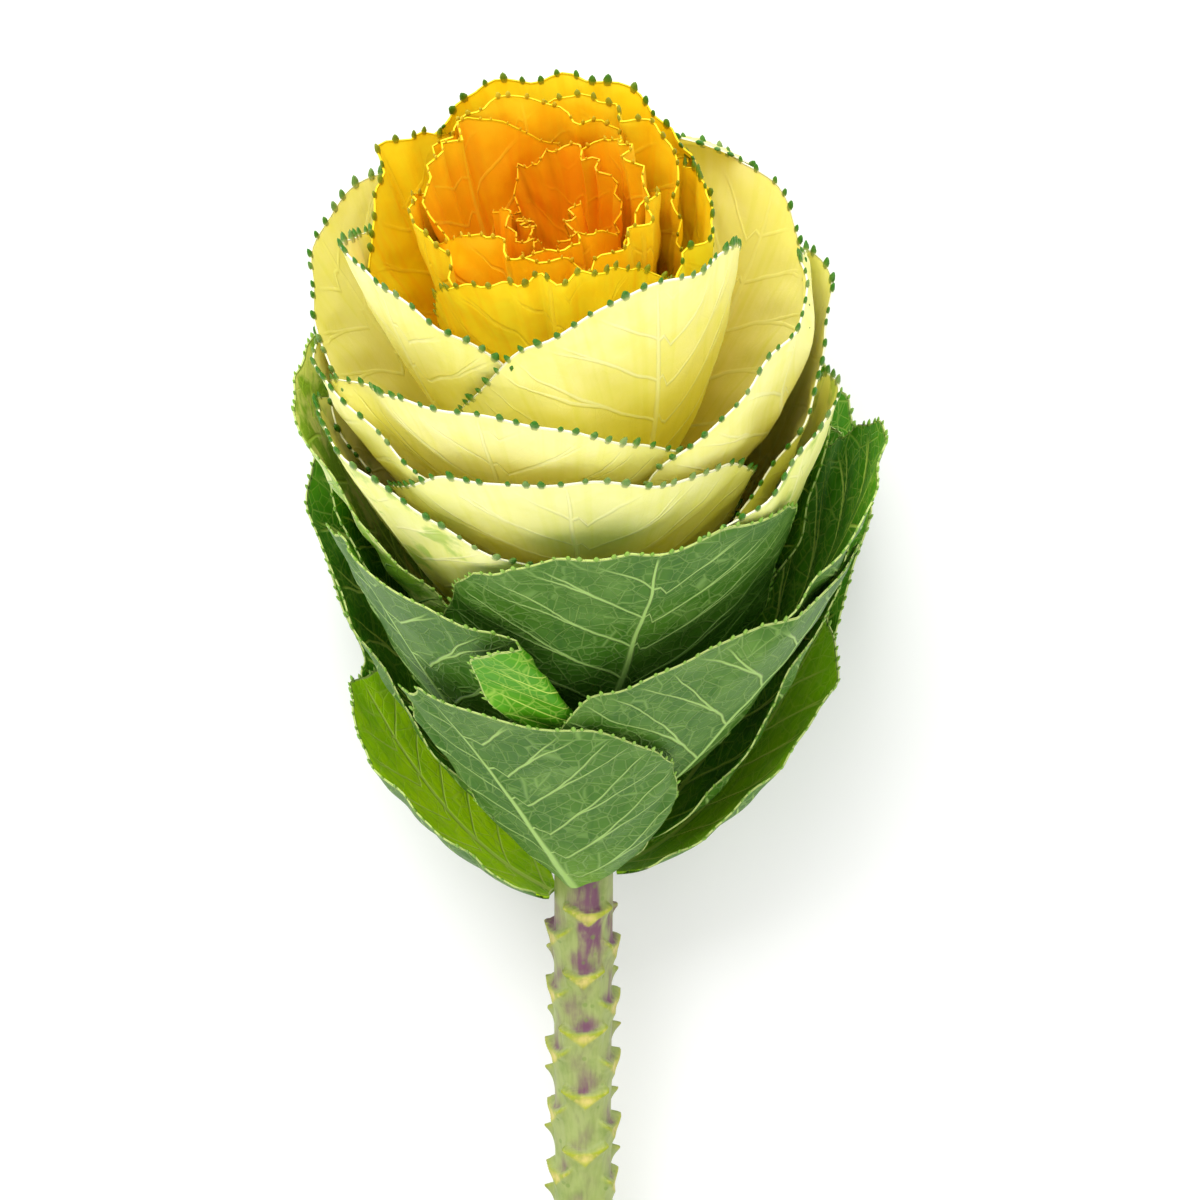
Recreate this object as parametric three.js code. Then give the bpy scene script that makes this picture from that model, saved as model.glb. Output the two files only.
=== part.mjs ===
// Ornamental kale stem: a cut flowering-kale head on its bare, leaf-scarred stem, lying on its side.
// Units are millimetres. +Y runs along the stem toward the head, +Z is up, the cut end is toward -Y.
import * as THREE from 'three';

// ---- The stem ----
const STEM_LENGTH = 195;          // bare stem between the cut and the lowest leaf
const STEM_SIDES = 20;
const STEM_RINGS_BARE = 56;       // rings of faces along the bare length
const STEM_RINGS_HEAD = 12;       // rings of faces hidden inside the head
const STEM_TOP = 138;             // growing tip, deep inside the head
const STEM_GIRTH = [[-195, 7.0], [-100, 6.7], [0, 7.2], [60, 7.0], [110, 5.5], [138, 2.2]];
const SCAR_RISE = 3.0;            // height gained from one leaf scar to the next
const SCAR_TURN = 144;            // and the turn round the stem
const SCAR_LEDGE = 1.5;           // how far a scar stands out
const SCAR_SPREAD = 26;           // half-width of a scar, degrees round the stem
const SCAR_SWELL = 7;             // length of the swelling below each scar
const SCAR_EDGE = 1.2;            // how soon the ledge ends above the scar
const SCAR_TOP = -6;              // the highest scar, just under the lowest leaf
const SKIN_DEPTH = 0.3;           // the stem between scars is this much thinner than its girth

// ---- How the plant lies ----
const NECK_START = 5, NECK_END = 140;   // the neck curves up between these heights on the axis
const NECK_BEND = 33;                   // by this much
const SIDE_LEAN = 9;                    // the top of the head leans to -X
const LEAN_START = 40, LEAN_SPAN = 160; // from this height on the axis, over this length
const LEAN_MOST = 1.4;                  // no further than this many times that length
const PITCH = 9.9;                      // head end raised, stem end down

// ---- The leaves, numbered from the heart outward ----
const LEAF_COUNT = 46;
const FIRST = -12;                // the leaf numbered 0 is the one that faces straight up
const FIRST_AZIMUTH = 3;          // where leaf 0 points, degrees from +Z toward +X
const TURN = -137.5;              // golden angle from one leaf to the next
const THICKNESS = 0.8;            // leaf blade
const MIDRIB = 1.3;               // extra thickness of the midrib at its base
const GAP = 0.45;                 // clear space kept between neighbouring leaves
const RIM_SPAN = 152;             // how far the outline runs round each side of the tip, degrees
const BASE_WIDTH = 5;             // half-width of a leaf where it joins the stem
const WRAP = 88;                  // a leaf never wraps more than this far round the axis
const WRAP_RADIUS = 6;            // and is rolled no tighter than this
const ROOT_GAP = 0.85;            // clear space between the stem and the base of a leaf
const START_REACH = 0.36, FLARE_REACH = 0.30;   // how far the midrib keeps its first and last slope
const MIDRIB_WIDTH = 0.12;        // share of the outline that the midrib's ridge takes

// The outline: its widest place, the tip above it and the base below, as shares of the length.
const OUTLINE_MIDDLE = 0.55, OUTLINE_TIP = 0.45, OUTLINE_BASE = 0.52;

// The ordinary leaf of number k, as ramps over k.
const BASE_HEIGHT = [[-12, 136], [-4, 118], [0, 108], [10, 80], [20, 44], [28, 10], [33, -5]];
const RIM_RADIUS = [[-12, 4], [-9, 13], [-5, 22], [0, 33], [5, 47], [10, 57], [20, 63], [33, 60]];
const RIM_HEIGHT = [[-12, 188], [-8, 196], [0, 200], [8, 181], [13, 166], [20, 145], [26, 115], [33, 55]];
const HALF_WIDTH = [[-12, 10], [-9, 20], [-5, 32], [0, 46], [5, 57], [10, 62], [20, 56], [33, 50]];
const RIM_FLARE = [[-12, -10], [-5, 0], [0, 5], [5, 10], [13, 14], [21, 16], [33, 30]];
const WEDGE = [[18, -0.10], [21, 0.12], [33, 0.22]];   // how much a blade narrows toward its base
const START_SLOPE = [[-12, 80], [0, 62], [8, 45], [20, 30], [33, 12]];

// Leaves that differ from the ordinary one: az = azimuth, R = rim radius, Y = rim height,
// W = half-width, lean = sideways sweep of the tip in degrees, base = height on the stem,
// start = slope at the stem, wedge = how much the blade narrows toward its base, left and
// right = how wide each half of the blade is against W.
const PARTICULAR = {
  '-12': { az: -73 }, '-11': { az: 75, R: 6, Y: 190 }, '-10': { az: -60, R: 9, Y: 192 },
  '-9': { az: 150, R: 15, Y: 196, W: 24 }, '-8': { az: 23, R: 12, Y: 192 },
  '-7': { az: -128, R: 24, Y: 199, W: 40 }, '-6': { az: 112, R: 21, Y: 200, W: 32 },
  '-5': { az: -22, R: 18, Y: 196, W: 30 }, '-4': { az: -170, R: 26, Y: 200, W: 42 },
  '-3': { az: 60, R: 24, Y: 198, W: 38 }, '-2': { az: -66, R: 28, Y: 195, W: 38 },
  '-1': { az: 140, R: 30, Y: 200, W: 44 }, 0: { az: 4, R: 31, Y: 201 },
  1: { az: -122, R: 40, Y: 187, W: 48 }, 2: { az: 88, R: 36, Y: 195, W: 48 },
  3: { az: 168, R: 38, Y: 198, W: 56 }, 4: { az: -50, R: 45, Y: 197, W: 54 },
  5: { az: 35, R: 44, Y: 203, W: 58 }, 6: { az: -107, R: 55, Y: 170, W: 62 },
  7: { az: 122, R: 57, Y: 171, W: 60 }, 8: { az: -17, R: 54, Y: 180, W: 62 },
  9: { az: -154, R: 48, Y: 172, W: 60 }, 10: { az: 70, R: 56, Y: 176, W: 58 },
  11: { az: -66, R: 56, Y: 164, W: 58 }, 12: { az: 153, R: 48, Y: 173, W: 58 },
  13: { az: 2, R: 56, Y: 164, W: 62 }, 14: { az: -122, R: 57, Y: 152, W: 58 },
  15: { az: 95, R: 60, Y: 160, W: 56 }, 16: { az: -50, R: 59, Y: 151, W: 58 },
  17: { az: -174, R: 52, Y: 150, W: 54 }, 18: { az: 60, R: 62, Y: 150, W: 56 },
  19: { az: -89, R: 61, Y: 140, W: 54 }, 20: { az: 128, R: 62, Y: 132, W: 54 },
  21: { az: 9, R: 60, Y: 146, W: 52, lean: 12 }, 22: { az: -130, R: 63, Y: 134, W: 54 },
  23: { az: 80, R: 71, Y: 124, W: 42 },
  24: { az: -38, R: 60, Y: 116, W: 50, lean: -20, left: 0.42, right: 1, wedge: 0.35 },
  25: { az: 170, R: 57, Y: 104, W: 46 },
  26: { az: 38, R: 62, Y: 106, W: 52, base: 22, lean: 28, left: 1.1, right: 0.42, wedge: 0.35 },
  27: { az: -118, R: 66, Y: 102, W: 46, flare: 34 }, 28: { az: 114, R: 68, Y: 104, W: 44, flare: 32 },
  29: { az: 108, R: 62, Y: 60, W: 38, base: 4, start: 15, flare: 32, right: 0.55, wedge: 0.2 },
  30: { az: -108, R: 55, Y: 46, W: 42, base: -2, start: 20, left: 0.6, wedge: 0.2 },
  31: { az: 136, R: 84, Y: 93, W: 33, base: 12, start: 24 },
  32: { az: -142, R: 81, Y: 90, W: 31, base: 8, start: 24 },
  33: { az: -14, R: 55, Y: 76, W: 42, base: 4, start: 32, lean: -28, left: 0.38, right: 1.2, wedge: 0.45 },
};

// ---- Small tools ----
const rad = (deg) => deg * Math.PI / 180;
const clamp = (v, lo, hi) => Math.min(hi, Math.max(lo, v));

function ramp(points, x) {
  if (x <= points[0][0]) return points[0][1];
  for (let i = 1; i < points.length; i++) {
    const [x0, y0] = points[i - 1], [x1, y1] = points[i];
    if (x <= x1) return y0 + (y1 - y0) * (x - x0) / (x1 - x0);
  }
  return points[points.length - 1][1];
}

// From the straight plant (angle, radius, height on the axis) to the lying one:
// lean sideways, curve the neck up, then raise the head end.
function place({ theta, r, y }) {
  const lean = SIDE_LEAN * clamp((y - LEAN_START) / LEAN_SPAN, 0, LEAN_MOST) ** 2;
  const perMm = rad(NECK_BEND) / (NECK_END - NECK_START);
  const bend = clamp((y - NECK_START) * perMm, 0, rad(NECK_BEND));
  const beyond = Math.max(y - NECK_END, 0);
  const alongY = y < NECK_START ? y : NECK_START + Math.sin(bend) / perMm + beyond * Math.cos(bend);
  const upZ = y < NECK_START ? 0 : (1 - Math.cos(bend)) / perMm + beyond * Math.sin(bend);
  const n = r * Math.cos(theta);
  const x = r * Math.sin(theta) - lean;
  const p = new THREE.Vector3(x, alongY - n * Math.sin(bend), upZ + n * Math.cos(bend));
  return p.applyAxisAngle(new THREE.Vector3(1, 0, 0), rad(PITCH));
}

const flat = ({ theta, r, y }) => new THREE.Vector3(r * Math.sin(theta), y, r * Math.cos(theta));
const round = (v) => ({ theta: Math.atan2(v.x, v.z), r: Math.hypot(v.x, v.z), y: v.y });

// ---- What has been laid so far, as the outermost radius at each angle and height ----
const STEP_ANGLE = 3, STEP_HEIGHT = 1.5, LOW = -40, HIGH = 230;
const COLS = 360 / STEP_ANGLE, ROWS = Math.ceil((HIGH - LOW) / STEP_HEIGHT);
const outermost = [];
for (let row = 0; row < ROWS; row++) {
  const y = LOW + row * STEP_HEIGHT;
  outermost.push(new Array(COLS).fill(y > STEM_TOP ? 0 : ramp(STEM_GIRTH, y)));
}
function cellOf({ theta, y }) {
  const col = Math.floor((theta * 180 / Math.PI + 720) / STEP_ANGLE) % COLS;
  return [clamp(Math.floor((y - LOW) / STEP_HEIGHT), 0, ROWS - 1), col];
}

// Calls visit(point, weights, corners) over both triangles of every cell of a grid of points.
function sweep(grid, fine, visit) {
  for (let j = 0; j + 1 < grid.length; j++) {
    for (let i = 0; i + 1 < grid[0].length; i++) {
      const a = [j, i], b = [j, i + 1], c = [j + 1, i + 1], d = [j + 1, i];
      for (const tri of [[a, b, c], [a, c, d]]) {
        const v = tri.map(([jj, ii]) => flat(grid[jj][ii]));
        for (let p = 0; p <= fine; p++) {
          for (let q = 0; q + p <= fine; q++) {
            const w = [p / fine, q / fine, 1 - (p + q) / fine];
            const at = new THREE.Vector3();
            v.forEach((corner, n) => at.addScaledVector(corner, w[n]));
            visit(round(at), w, tri);
          }
        }
      }
    }
  }
}

// Presses a leaf outward until its whole inner face clears everything already laid. The last
// passes move only what is still too close.
const PASSES = 40, LAST_PASSES = 12;
function layOver(grid) {
  for (let pass = 0; pass < PASSES; pass++) {
    const push = grid.map((line) => line.map(() => 0));
    sweep(grid, 8, (at, w, tri) => {
      const [row, col] = cellOf(at);
      const short = outermost[row][col] + GAP - at.r;
      if (short <= 0) return;
      const spread = w[0] ** 2 + w[1] ** 2 + w[2] ** 2;
      tri.forEach(([j, i], n) => { push[j][i] = Math.max(push[j][i], short * w[n] / spread); });
    });
    if (pass < PASSES - LAST_PASSES) smooth(push);
    grid.forEach((line, j) => line.forEach((p, i) => { p.r += push[j][i]; }));
  }
}

// Shares a push with the neighbouring points so that the blade stays even.
function smooth(push) {
  const old = push.map((line) => line.slice());
  for (let j = 1; j < push.length; j++) {
    for (let i = 0; i < push[0].length; i++) {
      const left = old[j][Math.max(i - 1, 0)], right = old[j][Math.min(i + 1, push[0].length - 1)];
      const below = old[j - 1][i], above = old[Math.min(j + 1, push.length - 1)][i];
      push[j][i] = Math.max(old[j][i], (left + right + below + above) * 0.22);
    }
  }
}

function recordLaid(grid) {
  sweep(grid, 12, (at) => {
    const [row, col] = cellOf(at);
    outermost[row][col] = Math.max(outermost[row][col], at.r);
  });
}

// ---- One leaf ----
function leafOf(k) {
  const own = PARTICULAR[k] ?? {};
  return {
    k,
    az: own.az ?? FIRST_AZIMUTH + TURN * k,
    base: own.base ?? ramp(BASE_HEIGHT, k),
    R: own.R ?? ramp(RIM_RADIUS, k),
    Y: own.Y ?? ramp(RIM_HEIGHT, k),
    W: own.W ?? ramp(HALF_WIDTH, k),
    lean: own.lean ?? 0,
    wedge: own.wedge ?? ramp(WEDGE, k),
    left: own.left ?? 1,
    right: own.right ?? 1,
    flare: own.flare ?? ramp(RIM_FLARE, k),
    start: own.start ?? ramp(START_SLOPE, k),
  };
}

// The midrib, from the stem to the tip, as a cubic curve in (radius, height).
function midribOf(leaf) {
  const r0 = ramp(STEM_GIRTH, leaf.base) + ROOT_GAP;
  const length = Math.hypot(leaf.R - r0, leaf.Y - leaf.base);
  const first = START_REACH * length, last = FLARE_REACH * length;
  const p = [
    [r0, leaf.base],
    [r0 + first * Math.cos(rad(leaf.start)), leaf.base + first * Math.sin(rad(leaf.start))],
    [leaf.R - last * Math.sin(rad(leaf.flare)), leaf.Y - last * Math.cos(rad(leaf.flare))],
    [leaf.R, leaf.Y],
  ];
  const steps = 60, line = [];
  let run = 0;
  for (let n = 0; n <= steps; n++) {
    const u = n / steps, v = 1 - u;
    const at = [0, 1].map((c) =>
      v ** 3 * p[0][c] + 3 * v * v * u * p[1][c] + 3 * v * u * u * p[2][c] + u ** 3 * p[3][c]);
    if (n > 0) run += Math.hypot(at[0] - line[n - 1].r, at[1] - line[n - 1].y);
    line.push({ run, r: at[0], y: at[1] });
  }
  return line;
}

// Points of the blade: rows go from the base line to the rim, columns round the rim.
function bladeOf(leaf, columns, rows) {
  const midrib = midribOf(leaf);
  const length = midrib[midrib.length - 1].run;
  const radiusAt = midrib.map((m) => [m.run, m.r]), heightAt = midrib.map((m) => [m.run, m.y]);
  const baseWidth = BASE_WIDTH * Math.min(1, leaf.W / 40);
  const grid = [];
  for (let j = 0; j <= rows; j++) {
    const s = j / rows, line = [];
    for (let i = 0; i <= columns; i++) {
      const t = 2 * i / columns - 1, turn = t * rad(RIM_SPAN);
      const half = leaf.W * (turn < 0 ? leaf.left : leaf.right);
      const rimX = half * Math.sin(turn) * (1 + leaf.wedge * Math.cos(turn));
      const reach = Math.cos(turn) > 0 ? OUTLINE_TIP : OUTLINE_BASE;
      const rimUp = length * (OUTLINE_MIDDLE + reach * Math.cos(turn));
      const across = baseWidth * t * (1 - s) + rimX * s, along = rimUp * s;
      const r = ramp(radiusAt, along), y = ramp(heightAt, along);
      const wrapped = WRAP * Math.tanh(across / Math.max(r, WRAP_RADIUS) * 180 / Math.PI / WRAP);
      const theta = rad(leaf.az + wrapped + leaf.lean * (along / length) ** 1.3);
      line.push({ theta, r, y });
    }
    grid.push(line);
  }
  return grid;
}

// The outer face: the inner one moved out along its normals, thicker along the midrib.
function outerFaceOf(grid) {
  const rows = grid.length - 1, columns = grid[0].length - 1;
  return grid.map((line, j) => line.map((p, i) => {
    const across = flat(grid[j][Math.min(i + 1, columns)]).sub(flat(grid[j][Math.max(i - 1, 0)]));
    const along = flat(grid[Math.min(j + 1, rows)][i]).sub(flat(grid[Math.max(j - 1, 0)][i]));
    const normal = across.cross(along).normalize().negate();
    const here = flat(p);
    if (normal.x * here.x + normal.z * here.z < 0) normal.negate();
    const t = 2 * i / columns - 1, s = j / rows;
    const thick = THICKNESS + MIDRIB * Math.exp(-((t / MIDRIB_WIDTH) ** 2)) * (1 - s) ** 0.8;
    return round(here.addScaledVector(normal, thick));
  }));
}

function shellGeometry(inner, outer) {
  const rows = inner.length, columns = inner[0].length;
  const points = [...inner.flat(), ...outer.flat()].map(place);
  const index = [], at = (side, j, i) => side * rows * columns + j * columns + i;
  const quad = (a, b, c, d) => index.push(a, b, c, a, c, d);
  for (let j = 0; j + 1 < rows; j++) {
    for (let i = 0; i + 1 < columns; i++) {
      quad(at(0, j, i), at(0, j, i + 1), at(0, j + 1, i + 1), at(0, j + 1, i));
      index.push(at(1, j, i), at(1, j + 1, i + 1), at(1, j, i + 1));
      index.push(at(1, j, i), at(1, j + 1, i), at(1, j + 1, i + 1));
    }
  }
  for (let i = 0; i + 1 < columns; i++) {
    quad(at(0, 0, i + 1), at(0, 0, i), at(1, 0, i), at(1, 0, i + 1));
    quad(at(0, rows - 1, i), at(0, rows - 1, i + 1), at(1, rows - 1, i + 1), at(1, rows - 1, i));
  }
  for (let j = 0; j + 1 < rows; j++) {
    quad(at(0, j, 0), at(0, j + 1, 0), at(1, j + 1, 0), at(1, j, 0));
    quad(at(0, j + 1, columns - 1), at(0, j, columns - 1), at(1, j, columns - 1), at(1, j + 1, columns - 1));
  }
  return facing(points, index);
}

// A closed surface whose triangles face outward.
function facing(points, index) {
  let volume = 0;
  for (let n = 0; n < index.length; n += 3) {
    const [a, b, c] = [points[index[n]], points[index[n + 1]], points[index[n + 2]]];
    volume += a.dot(b.clone().cross(c));
  }
  if (volume < 0) {
    for (let n = 0; n < index.length; n += 3) [index[n + 1], index[n + 2]] = [index[n + 2], index[n + 1]];
  }
  const geometry = new THREE.BufferGeometry();
  geometry.setAttribute('position', new THREE.Float32BufferAttribute(points.flatMap((p) => p.toArray()), 3));
  geometry.setIndex(index);
  return geometry;
}

// ---- The stem, with a ledge at the foot of each fallen leaf ----
function scarLedge(theta, y) {
  let out = 0;
  for (let n = 0; n * SCAR_RISE < STEM_LENGTH + SCAR_TOP; n++) {
    const height = SCAR_TOP - n * SCAR_RISE, facingTo = rad(FIRST_AZIMUTH + n * SCAR_TURN);
    const off = Math.abs(Math.atan2(Math.sin(theta - facingTo), Math.cos(theta - facingTo)));
    const below = height - y;
    const rise = below < 0 ? Math.exp(-((below / SCAR_EDGE) ** 2)) : Math.exp(-below / SCAR_SWELL * 2.2);
    out = Math.max(out, SCAR_LEDGE * rise * Math.exp(-((off / rad(SCAR_SPREAD)) ** 2)));
  }
  return out;
}

function stemGeometry() {
  const heights = [];
  const bare = STEM_LENGTH + SCAR_TOP, hidden = STEM_TOP - SCAR_TOP;
  for (let n = 0; n <= STEM_RINGS_BARE; n++) heights.push(-STEM_LENGTH + n * bare / STEM_RINGS_BARE);
  for (let n = 1; n <= STEM_RINGS_HEAD; n++) heights.push(SCAR_TOP + n * hidden / STEM_RINGS_HEAD);
  const points = [], index = [];
  for (const y of heights) {
    for (let i = 0; i < STEM_SIDES; i++) {
      const theta = 2 * Math.PI * i / STEM_SIDES;
      const ledge = y < SCAR_TOP - 1 ? scarLedge(theta, y) : 0;
      points.push(place({ theta, r: ramp(STEM_GIRTH, y) - SKIN_DEPTH + ledge, y }));
    }
  }
  for (let j = 0; j + 1 < heights.length; j++) {
    for (let i = 0; i < STEM_SIDES; i++) {
      const next = (i + 1) % STEM_SIDES, a = j * STEM_SIDES, b = a + STEM_SIDES;
      index.push(a + i, a + next, b + next, a + i, b + next, b + i);
    }
  }
  const cut = points.push(place({ theta: 0, r: 0, y: heights[0] })) - 1;
  const tip = points.push(place({ theta: 0, r: 0, y: STEM_TOP })) - 1;
  const last = (heights.length - 1) * STEM_SIDES;
  for (let i = 0; i < STEM_SIDES; i++) {
    const next = (i + 1) % STEM_SIDES;
    index.push(cut, next, i, tip, last + i, last + next);
  }
  return facing(points, index);
}

// ---- Colours from the heart outward ----
const RINGS = [
  { upTo: -9, name: 'heart', from: '#e9760b', to: '#f4930f' },
  { upTo: 3, name: 'golden', from: '#f4930f', to: '#f8c62a' },
  { upTo: 18, name: 'cream', from: '#f1e394', to: '#dfe3a0' },
  { upTo: 33, name: 'green', from: '#6d8f55', to: '#4f7d3e' },
];

function mesh(name, geometry, colour, roughness) {
  const material = new THREE.MeshStandardMaterial({ color: colour, roughness, metalness: 0 });
  const made = new THREE.Mesh(geometry, material);
  made.name = name;
  return made;
}

const plant = new THREE.Group();
plant.name = 'ornamental_kale_stem';
plant.add(mesh('stem', stemGeometry(), '#a9b46a', 0.6));
for (let n = 0; n < LEAF_COUNT; n++) {
  const k = FIRST + n, leaf = leafOf(k);
  const ring = RINGS.find((one) => k <= one.upTo);
  const inner = n < 12 ? bladeOf(leaf, 8, 4) : bladeOf(leaf, 10, 5);
  layOver(inner);
  const outer = outerFaceOf(inner);
  recordLaid(inner);
  recordLaid(outer);
  const first = RINGS.indexOf(ring) === 0 ? FIRST : RINGS[RINGS.indexOf(ring) - 1].upTo + 1;
  const colour = new THREE.Color(ring.from).lerp(new THREE.Color(ring.to), (k - first) / (ring.upTo - first));
  const name = `${ring.name}_leaf_${String(n + 1).padStart(2, '0')}`;
  plant.add(mesh(name, shellGeometry(inner, outer), colour, 0.5));
}

// The origin is below the middle of the plant, on the surface it lies on.
const box = new THREE.Box3().setFromObject(plant);
for (const one of plant.children) {
  one.geometry.translate(-(box.min.x + box.max.x) / 2, -(box.min.y + box.max.y) / 2, -box.min.z);
  one.geometry.computeVertexNormals();
}

export default plant;
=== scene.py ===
"""Ornamental kale stem, lying on its side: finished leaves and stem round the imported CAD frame."""
import math

import bpy
import numpy as np
from bpy.props import FloatProperty, FloatVectorProperty, PointerProperty
from mathutils import Matrix, Vector


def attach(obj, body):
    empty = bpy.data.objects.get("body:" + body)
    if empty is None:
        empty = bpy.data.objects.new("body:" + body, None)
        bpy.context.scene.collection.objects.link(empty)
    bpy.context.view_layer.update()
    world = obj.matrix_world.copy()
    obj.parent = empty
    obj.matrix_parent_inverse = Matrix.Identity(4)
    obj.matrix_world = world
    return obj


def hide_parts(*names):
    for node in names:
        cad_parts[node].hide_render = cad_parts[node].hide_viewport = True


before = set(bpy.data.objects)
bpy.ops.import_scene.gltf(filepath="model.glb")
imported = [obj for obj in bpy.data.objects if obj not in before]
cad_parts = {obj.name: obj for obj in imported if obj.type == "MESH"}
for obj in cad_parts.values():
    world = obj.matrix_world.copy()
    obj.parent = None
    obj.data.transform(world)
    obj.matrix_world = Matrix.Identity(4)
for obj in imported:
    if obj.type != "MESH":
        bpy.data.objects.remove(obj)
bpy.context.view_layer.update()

bl_info = {
    "name": "Ornamental kale stem",
    "version": (1, 0, 0),
    "blender": (4, 5, 0),
    "location": "View3D > Sidebar > Kale",
    "description": "Builds a lying ornamental kale head with its leaf-scarred stem",
    "category": "Add Mesh",
}

MM = 0.001

# ---- How the plant grows and lies: millimetres and degrees, the same as the solids ----
STEM_LENGTH, STEM_TOP = 195.0, 138.0
STEM_GIRTH = ((-195, 7.0), (-100, 6.7), (0, 7.2), (60, 7.0), (110, 5.5), (138, 2.2))
SKIN_DEPTH = 0.3                     # the stem between scars is this much thinner than its girth
CUT_RADIUS = 6.7                     # the rings of the cut face are shares of this
SCAR_RISE, SCAR_TURN = 3.0, 144.0
NECK_START, NECK_END, NECK_BEND = 5.0, 140.0, 33.0
SIDE_LEAN, LEAN_START, LEAN_SPAN, LEAN_MOST = 9.0, 40.0, 160.0, 1.4
PITCH = 9.9
ORIGIN = (-1.559, -0.323, 41.094)   # where the axis meets the lowest leaf, above the surface

FIRST, LAST = -12, 33
FIRST_AZIMUTH, TURN = 3.0, -137.5
RIM_SPAN, BASE_WIDTH = 152.0, 5.0
WRAP, WRAP_RADIUS = 88.0, 6.0        # a blade wraps no further round the axis, and no tighter
ROOT_GAP = 0.85                      # between the stem and the base of a leaf
START_REACH, FLARE_REACH = 0.36, 0.30   # how far a midrib keeps its first and last slope
# The outline's widest place, the tip above it and the base below, as shares of the length.
OUTLINE_MIDDLE, OUTLINE_TIP, OUTLINE_BASE = 0.55, 0.45, 0.52

# The ordinary leaf of number k, as ramps over k, counted outward from the heart.
BASE_HEIGHT = ((-12, 136), (-4, 118), (0, 108), (10, 80), (20, 44), (28, 10), (33, -5))
RIM_RADIUS = ((-12, 4), (-9, 13), (-5, 22), (0, 33), (5, 47), (10, 57), (20, 63), (33, 60))
RIM_HEIGHT = ((-12, 188), (-8, 196), (0, 200), (8, 181), (13, 166), (20, 145), (26, 115), (33, 55))
HALF_WIDTH = ((-12, 10), (-9, 20), (-5, 32), (0, 46), (5, 57), (10, 62), (20, 56), (33, 50))
RIM_FLARE = ((-12, -10), (-5, 0), (0, 5), (5, 10), (13, 14), (21, 16), (33, 30))
START_SLOPE = ((-12, 80), (0, 62), (8, 45), (20, 30), (33, 12))
WEDGE = ((18, -0.10), (21, 0.12), (33, 0.22))

# Leaves that differ from the ordinary one: az = azimuth, R = rim radius, Y = rim height,
# W = half-width, lean = sideways sweep of the tip, base = height on the stem,
# start = slope at the stem, wedge = how much the blade narrows toward its base, left and
# right = how wide each half of the blade is against W.
PARTICULAR = {
    -12: dict(az=-73), -11: dict(az=75, R=6, Y=190), -10: dict(az=-60, R=9, Y=192),
    -9: dict(az=150, R=15, Y=196, W=24), -8: dict(az=23, R=12, Y=192),
    -7: dict(az=-128, R=24, Y=199, W=40), -6: dict(az=112, R=21, Y=200, W=32),
    -5: dict(az=-22, R=18, Y=196, W=30), -4: dict(az=-170, R=26, Y=200, W=42),
    -3: dict(az=60, R=24, Y=198, W=38), -2: dict(az=-66, R=28, Y=195, W=38),
    -1: dict(az=140, R=30, Y=200, W=44), 0: dict(az=4, R=31, Y=201), 1: dict(az=-122, R=40, Y=187, W=48),
    2: dict(az=88, R=36, Y=195, W=48), 3: dict(az=168, R=38, Y=198, W=56),
    4: dict(az=-50, R=45, Y=197, W=54), 5: dict(az=35, R=44, Y=203, W=58),
    6: dict(az=-107, R=55, Y=170, W=62), 7: dict(az=122, R=57, Y=171, W=60),
    8: dict(az=-17, R=54, Y=180, W=62), 9: dict(az=-154, R=48, Y=172, W=60),
    10: dict(az=70, R=56, Y=176, W=58), 11: dict(az=-66, R=56, Y=164, W=58),
    12: dict(az=153, R=48, Y=173, W=58), 13: dict(az=2, R=56, Y=164, W=62),
    14: dict(az=-122, R=57, Y=152, W=58), 15: dict(az=95, R=60, Y=160, W=56),
    16: dict(az=-50, R=59, Y=151, W=58), 17: dict(az=-174, R=52, Y=150, W=54),
    18: dict(az=60, R=62, Y=150, W=56), 19: dict(az=-89, R=61, Y=140, W=54),
    20: dict(az=128, R=62, Y=132, W=54), 21: dict(az=9, R=60, Y=146, W=52, lean=12),
    22: dict(az=-130, R=63, Y=134, W=54), 23: dict(az=80, R=71, Y=124, W=42),
    24: dict(az=-38, R=60, Y=116, W=50, lean=-20, left=0.42, right=1.2, wedge=0.35),
    25: dict(az=170, R=57, Y=104, W=46),
    26: dict(az=38, R=62, Y=106, W=52, base=22, lean=28, left=1.1, right=0.42, wedge=0.35),
    27: dict(az=-118, R=66, Y=102, W=46, flare=34), 28: dict(az=114, R=68, Y=104, W=44, flare=32),
    29: dict(az=108, R=62, Y=60, W=38, base=4, start=15, flare=32, right=0.55, wedge=0.2),
    30: dict(az=-108, R=55, Y=46, W=42, base=-2, start=20, left=0.6, wedge=0.2),
    31: dict(az=136, R=84, Y=93, W=33, base=12, start=24),
    32: dict(az=-142, R=81, Y=90, W=31, base=8, start=24),
    33: dict(az=-14, R=55, Y=76, W=42, base=4, start=32, lean=-28, left=0.38, right=1.2, wedge=0.45),
}
# Margins that are rolled over outward, by leaf: the direction in degrees from straight across,
# the distance from the midrib where the roll starts, and its radius, in mm.
ROLLED = {24: (-10.0, 27.0, 1.8)}
ROLL_RISE = 0.10   # how much the part that is laid back lifts off the blade, per mm
# How strongly green patches show, by leaf.
MOTTLED = {14: 0.18, 16: 0.18, 18: 0.18, 19: 0.45}
RINGS = (("heart", -12, -9), ("golden", -8, 3), ("cream", 4, 18), ("green", 19, 33))


def srgb(r, g, b):
    """A colour given as 0-255 display values, as linear light."""
    c = np.array([r, g, b], float) / 255
    return tuple(np.where(c <= 0.04045, c / 12.92, ((c + 0.055) / 1.055) ** 2.4))


def ramp(points, x):
    """Straight-line interpolation through (x, value) points."""
    xs, vs = zip(*points)
    return np.interp(x, xs, vs)


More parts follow.
